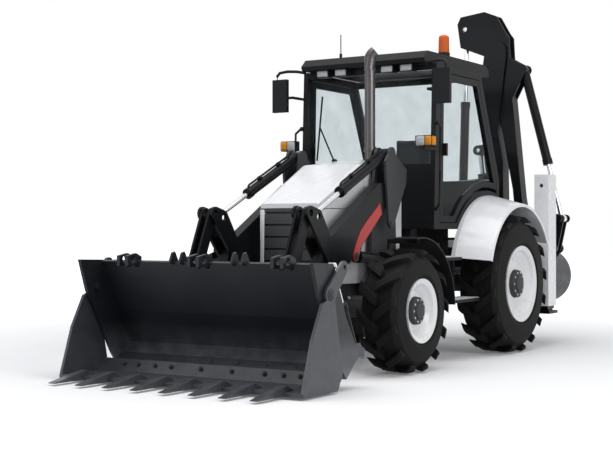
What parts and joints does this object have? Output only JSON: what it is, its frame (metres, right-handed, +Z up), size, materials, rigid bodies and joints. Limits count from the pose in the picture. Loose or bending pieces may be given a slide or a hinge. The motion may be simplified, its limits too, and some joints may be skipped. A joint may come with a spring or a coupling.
{
  "type": "backhoe loader",
  "caption": "Wheeled loader tractor with a clam bucket on lift arms in front, a glazed cab, and a folding digging arm with stabilisers behind.",
  "frame": {"origin": "on the floor at the middle of the machine's bounding box", "axes": "+X forward, towards the loader bucket; +Y to the machine's left; +Z up"},
  "size_m": [6.025, 2.4, 3.716],
  "materials": {
    "white_paint": "gloss",
    "rim_white": "gloss",
    "tyre_rubber": "matte",
    "bucket_steel": "satin",
    "rod_chrome": "polished",
    "tinted_glass": "gloss",
    "grille_grey": "satin",
    "cast_grey": "satin",
    "lamp": "gloss",
    "seat_cloth": "matte",
    "black_plastic": "satin",
    "black_paint": "satin"
  },
  "bodies": {
    "chassis": {"frame": "black_paint", "engine": "cast_grey", "axles": "cast_grey", "hood_cowl": "white_paint", "grille": "grille_grey", "cab_frame": "black_paint", "cab_roof": "black_paint", "cab_glass": "tinted_glass", "seat": "seat_cloth", "dash": "black_plastic", "rear_fenders": "white_paint", "side_steps": "black_plastic", "exhaust": "black_paint", "lamps": "lamp", "mirrors": "black_plastic", "rear_frame": "white_paint"},
    "hood": {"hood": "white_paint"},
    "door_left": {"door_left": "black_paint", "door_glass_left": "tinted_glass"},
    "door_right": {"door_right": "black_paint", "door_glass_right": "tinted_glass"},
    "knuckle_left": {"knuckle_left": "black_plastic"},
    "knuckle_right": {"knuckle_right": "black_plastic"},
    "wheel_fl": {"tyre_fl": "tyre_rubber", "rim_fl": "rim_white"},
    "wheel_fr": {"tyre_fr": "tyre_rubber", "rim_fr": "rim_white"},
    "wheel_rl": {"tyre_rl": "tyre_rubber", "rim_rl": "rim_white"},
    "wheel_rr": {"tyre_rr": "tyre_rubber", "rim_rr": "rim_white"},
    "loader_arms": {"loader_arms": "black_paint"},
    "bell_cranks": {"bell_cranks": "black_paint"},
    "bucket_links": {"bucket_links": "black_paint"},
    "loader_bucket": {"loader_bucket": "bucket_steel"},
    "bucket_clam": {"bucket_clam": "bucket_steel"},
    "lift_barrels": {"lift_barrels": "black_paint"},
    "lift_rods": {"lift_rods": "rod_chrome"},
    "tilt_barrels": {"tilt_barrels": "black_paint"},
    "tilt_rods": {"tilt_rods": "rod_chrome"},
    "clam_barrels": {"clam_barrels": "black_paint"},
    "clam_rods": {"clam_rods": "rod_chrome"},
    "carriage": {"carriage": "black_paint"},
    "kingpost": {"kingpost": "black_paint"},
    "boom": {"boom": "black_paint"},
    "dipper": {"dipper": "black_paint"},
    "hoe_bucket": {"hoe_bucket": "bucket_steel"},
    "hoe_idler": {"hoe_idler": "black_paint"},
    "hoe_link": {"hoe_link": "black_paint"},
    "boom_barrel": {"boom_barrel": "black_paint"},
    "boom_rod": {"boom_rod": "rod_chrome"},
    "dipper_barrel": {"dipper_barrel": "black_paint"},
    "dipper_rod": {"dipper_rod": "rod_chrome"},
    "hoe_barrel": {"hoe_barrel": "black_paint"},
    "hoe_rod": {"hoe_rod": "rod_chrome"},
    "leg_left": {"leg_left": "black_paint"},
    "leg_right": {"leg_right": "black_paint"}
  },
  "joints": [
    {"name": "hood_open", "type": "hinge", "parent": "chassis", "child": "hood", "pos_m": [0.3225, 0, 1.872], "axis": [0, -1, 0], "range_deg": [0, 60]},
    {"name": "door_left_open", "type": "hinge", "parent": "chassis", "child": "door_left", "pos_m": [-1.76964, 0.758, 1.7385], "axis": [0.3987, 0, 0.9171], "range_deg": [0, 80]},
    {"name": "door_right_open", "type": "hinge", "parent": "chassis", "child": "door_right", "pos_m": [-1.76964, -0.758, 1.7385], "axis": [-0.3987, 0, -0.9171], "range_deg": [0, 80]},
    {"name": "steer_left", "type": "hinge", "parent": "chassis", "child": "knuckle_left", "pos_m": [0.6625, 0.84, 0.545], "axis": [0, 0, 1], "range_deg": [-35, 35]},
    {"name": "steer_right", "type": "hinge", "parent": "chassis", "child": "knuckle_right", "pos_m": [0.6625, -0.84, 0.545], "axis": [0, 0, 1], "range_deg": [-35, 35]},
    {"name": "roll_fl", "type": "hinge", "parent": "knuckle_left", "child": "wheel_fl", "pos_m": [0.6625, 0.947, 0.545], "axis": [0, 1, 0], "continuous": true},
    {"name": "roll_fr", "type": "hinge", "parent": "knuckle_right", "child": "wheel_fr", "pos_m": [0.6625, -0.947, 0.545], "axis": [0, 1, 0], "continuous": true},
    {"name": "roll_rl", "type": "hinge", "parent": "chassis", "child": "wheel_rl", "pos_m": [-1.5375, 0.922, 0.7], "axis": [0, 1, 0], "continuous": true},
    {"name": "roll_rr", "type": "hinge", "parent": "chassis", "child": "wheel_rr", "pos_m": [-1.5375, -0.922, 0.7], "axis": [0, 1, 0], "continuous": true},
    {"name": "loader_lift", "type": "hinge", "parent": "chassis", "child": "loader_arms", "pos_m": [0.2065, 0, 1.587], "axis": [0, -1, 0], "range_deg": [0, 80]},
    {"name": "lift_barrel_swing", "type": "hinge", "parent": "chassis", "child": "lift_barrels", "pos_m": [-0.0775, 0, 0.95], "axis": [0, -1, 0], "range_deg": [-1, 57]},
    {"name": "lift_rod_stroke", "type": "slide", "parent": "lift_barrels", "child": "lift_rods", "axis": [0.997, 0, 0.0768], "range_m": [-0.01, 0.62]},
    {"name": "tilt_barrel_swing", "type": "hinge", "parent": "chassis", "child": "tilt_barrels", "pos_m": [0.1725, 0, 1.95], "axis": [0, -1, 0], "range_deg": [-1, 83]},
    {"name": "tilt_rod_stroke", "type": "slide", "parent": "tilt_barrels", "child": "tilt_rods", "axis": [0.9094, 0, -0.4159], "range_m": [-0.47, 0.01]},
    {"name": "bucket_tilt", "type": "hinge", "parent": "loader_arms", "child": "loader_bucket", "pos_m": [1.7325, 0, 0.3], "axis": [0, 1, 0], "range_deg": [-35, 45]},
    {"name": "crank_swing", "type": "hinge", "parent": "loader_arms", "child": "bell_cranks", "pos_m": [1.2325, 0, 1], "axis": [0, 1, 0], "range_deg": [-23, 29]},
    {"name": "link_swing", "type": "hinge", "parent": "loader_bucket", "child": "bucket_links", "pos_m": [1.8825, 0, 0.69], "axis": [0, 1, 0], "range_deg": [-55, 43]},
    {"name": "clam_open", "type": "hinge", "parent": "loader_bucket", "child": "bucket_clam", "pos_m": [2.3055, 0, 0.758], "axis": [0, -1, 0], "range_deg": [0, 60]},
    {"name": "clam_barrel_swing", "type": "hinge", "parent": "loader_bucket", "child": "clam_barrels", "pos_m": [1.7625, 0, 0.27], "axis": [0, -1, 0], "range_deg": [-4, 1]},
    {"name": "clam_rod_stroke", "type": "slide", "parent": "clam_barrels", "child": "clam_rods", "axis": [0.442, 0, 0.897], "range_m": [-0.285, 0.005]},
    {"name": "side_shift", "type": "slide", "parent": "chassis", "child": "carriage", "axis": [0, 1, 0], "range_m": [-0.45, 0.45]},
    {"name": "slew", "type": "hinge", "parent": "carriage", "child": "kingpost", "pos_m": [-2.7875, 0, 0.9], "axis": [0, 0, 1], "range_deg": [0, 180]},
    {"name": "boom_lower", "type": "hinge", "parent": "kingpost", "child": "boom", "pos_m": [-2.7875, 0.33, 0.8], "axis": [-1, 0, 0], "range_deg": [0, 120]},
    {"name": "boom_barrel_swing", "type": "hinge", "parent": "kingpost", "child": "boom_barrel", "pos_m": [-2.7875, 0.22, 1.025], "axis": [-1, 0, 0], "range_deg": [-1, 130]},
    {"name": "boom_rod_stroke", "type": "slide", "parent": "boom_barrel", "child": "boom_rod", "axis": [0, -0.1061, 0.9944], "range_m": [-0.01, 0.45]},
    {"name": "dipper_out", "type": "hinge", "parent": "boom", "child": "dipper", "pos_m": [-2.7875, 0.33, 3.25], "axis": [1, 0, 0], "range_deg": [0, 110]},
    {"name": "dipper_barrel_swing", "type": "hinge", "parent": "boom", "child": "dipper_barrel", "pos_m": [-2.7875, -0.115, 1.75], "axis": [1, 0, 0], "range_deg": [-7, 1]},
    {"name": "dipper_rod_stroke", "type": "slide", "parent": "dipper_barrel", "child": "dipper_rod", "axis": [0, 0.0307, 0.9995], "range_m": [-0.73, 0.01]},
    {"name": "hoe_bucket_open", "type": "hinge", "parent": "dipper", "child": "hoe_bucket", "pos_m": [-2.7875, 0.66, 1.13], "axis": [1, 0, 0], "range_deg": [0, 90]},
    {"name": "idler_swing", "type": "hinge", "parent": "dipper", "child": "hoe_idler", "pos_m": [-2.7875, 0.64, 1.4], "axis": [1, 0, 0], "range_deg": [-1, 92]},
    {"name": "push_link_swing", "type": "hinge", "parent": "hoe_bucket", "child": "hoe_link", "pos_m": [-2.7875, 1.005, 1.04], "axis": [1, 0, 0], "range_deg": [-82, 1]},
    {"name": "hoe_barrel_swing", "type": "hinge", "parent": "dipper", "child": "hoe_barrel", "pos_m": [-2.7875, 0.639, 3.035], "axis": [1, 0, 0], "range_deg": [-9, 1]},
    {"name": "hoe_rod_stroke", "type": "slide", "parent": "hoe_barrel", "child": "hoe_rod", "axis": [0, 0.256, -0.9667], "range_m": [-0.54, 0.01]},
    {"name": "leg_left_drop", "type": "slide", "parent": "chassis", "child": "leg_left", "axis": [0, 0, -1], "range_m": [0, 0.4]},
    {"name": "leg_right_drop", "type": "slide", "parent": "chassis", "child": "leg_right", "axis": [0, 0, -1], "range_m": [0, 0.4]}
  ],
  "couplings": [
    {"joint": "steer_right", "follows": "steer_left", "ratio": 1},
    {"joint": "lift_barrel_swing", "follows": "loader_lift", "ratio": 0.582},
    {"joint": "lift_rod_stroke", "follows": "loader_lift", "m_per_rad": 0.42289},
    {"joint": "tilt_barrel_swing", "follows": "loader_lift", "ratio": 1.016},
    {"joint": "tilt_rod_stroke", "follows": "loader_lift", "m_per_rad": -0.328},
    {"joint": "crank_swing", "follows": "bucket_tilt", "ratio": 0.6256},
    {"joint": "link_swing", "follows": "bucket_tilt", "ratio": -1.2068},
    {"joint": "clam_barrel_swing", "follows": "clam_open", "ratio": -0.054},
    {"joint": "clam_rod_stroke", "follows": "clam_open", "m_per_rad": -0.265},
    {"joint": "boom_barrel_swing", "follows": "boom_lower", "ratio": 1.0464},
    {"joint": "boom_rod_stroke", "follows": "boom_lower", "m_per_rad": 0.18265},
    {"joint": "dipper_barrel_swing", "follows": "dipper_out", "ratio": -0.056},
    {"joint": "dipper_rod_stroke", "follows": "dipper_out", "m_per_rad": -0.37098},
    {"joint": "idler_swing", "follows": "hoe_bucket_open", "ratio": 0.8308},
    {"joint": "push_link_swing", "follows": "hoe_bucket_open", "ratio": -0.8992},
    {"joint": "hoe_barrel_swing", "follows": "hoe_bucket_open", "ratio": -0.052},
    {"joint": "hoe_rod_stroke", "follows": "hoe_bucket_open", "m_per_rad": -0.3154}
  ]
}
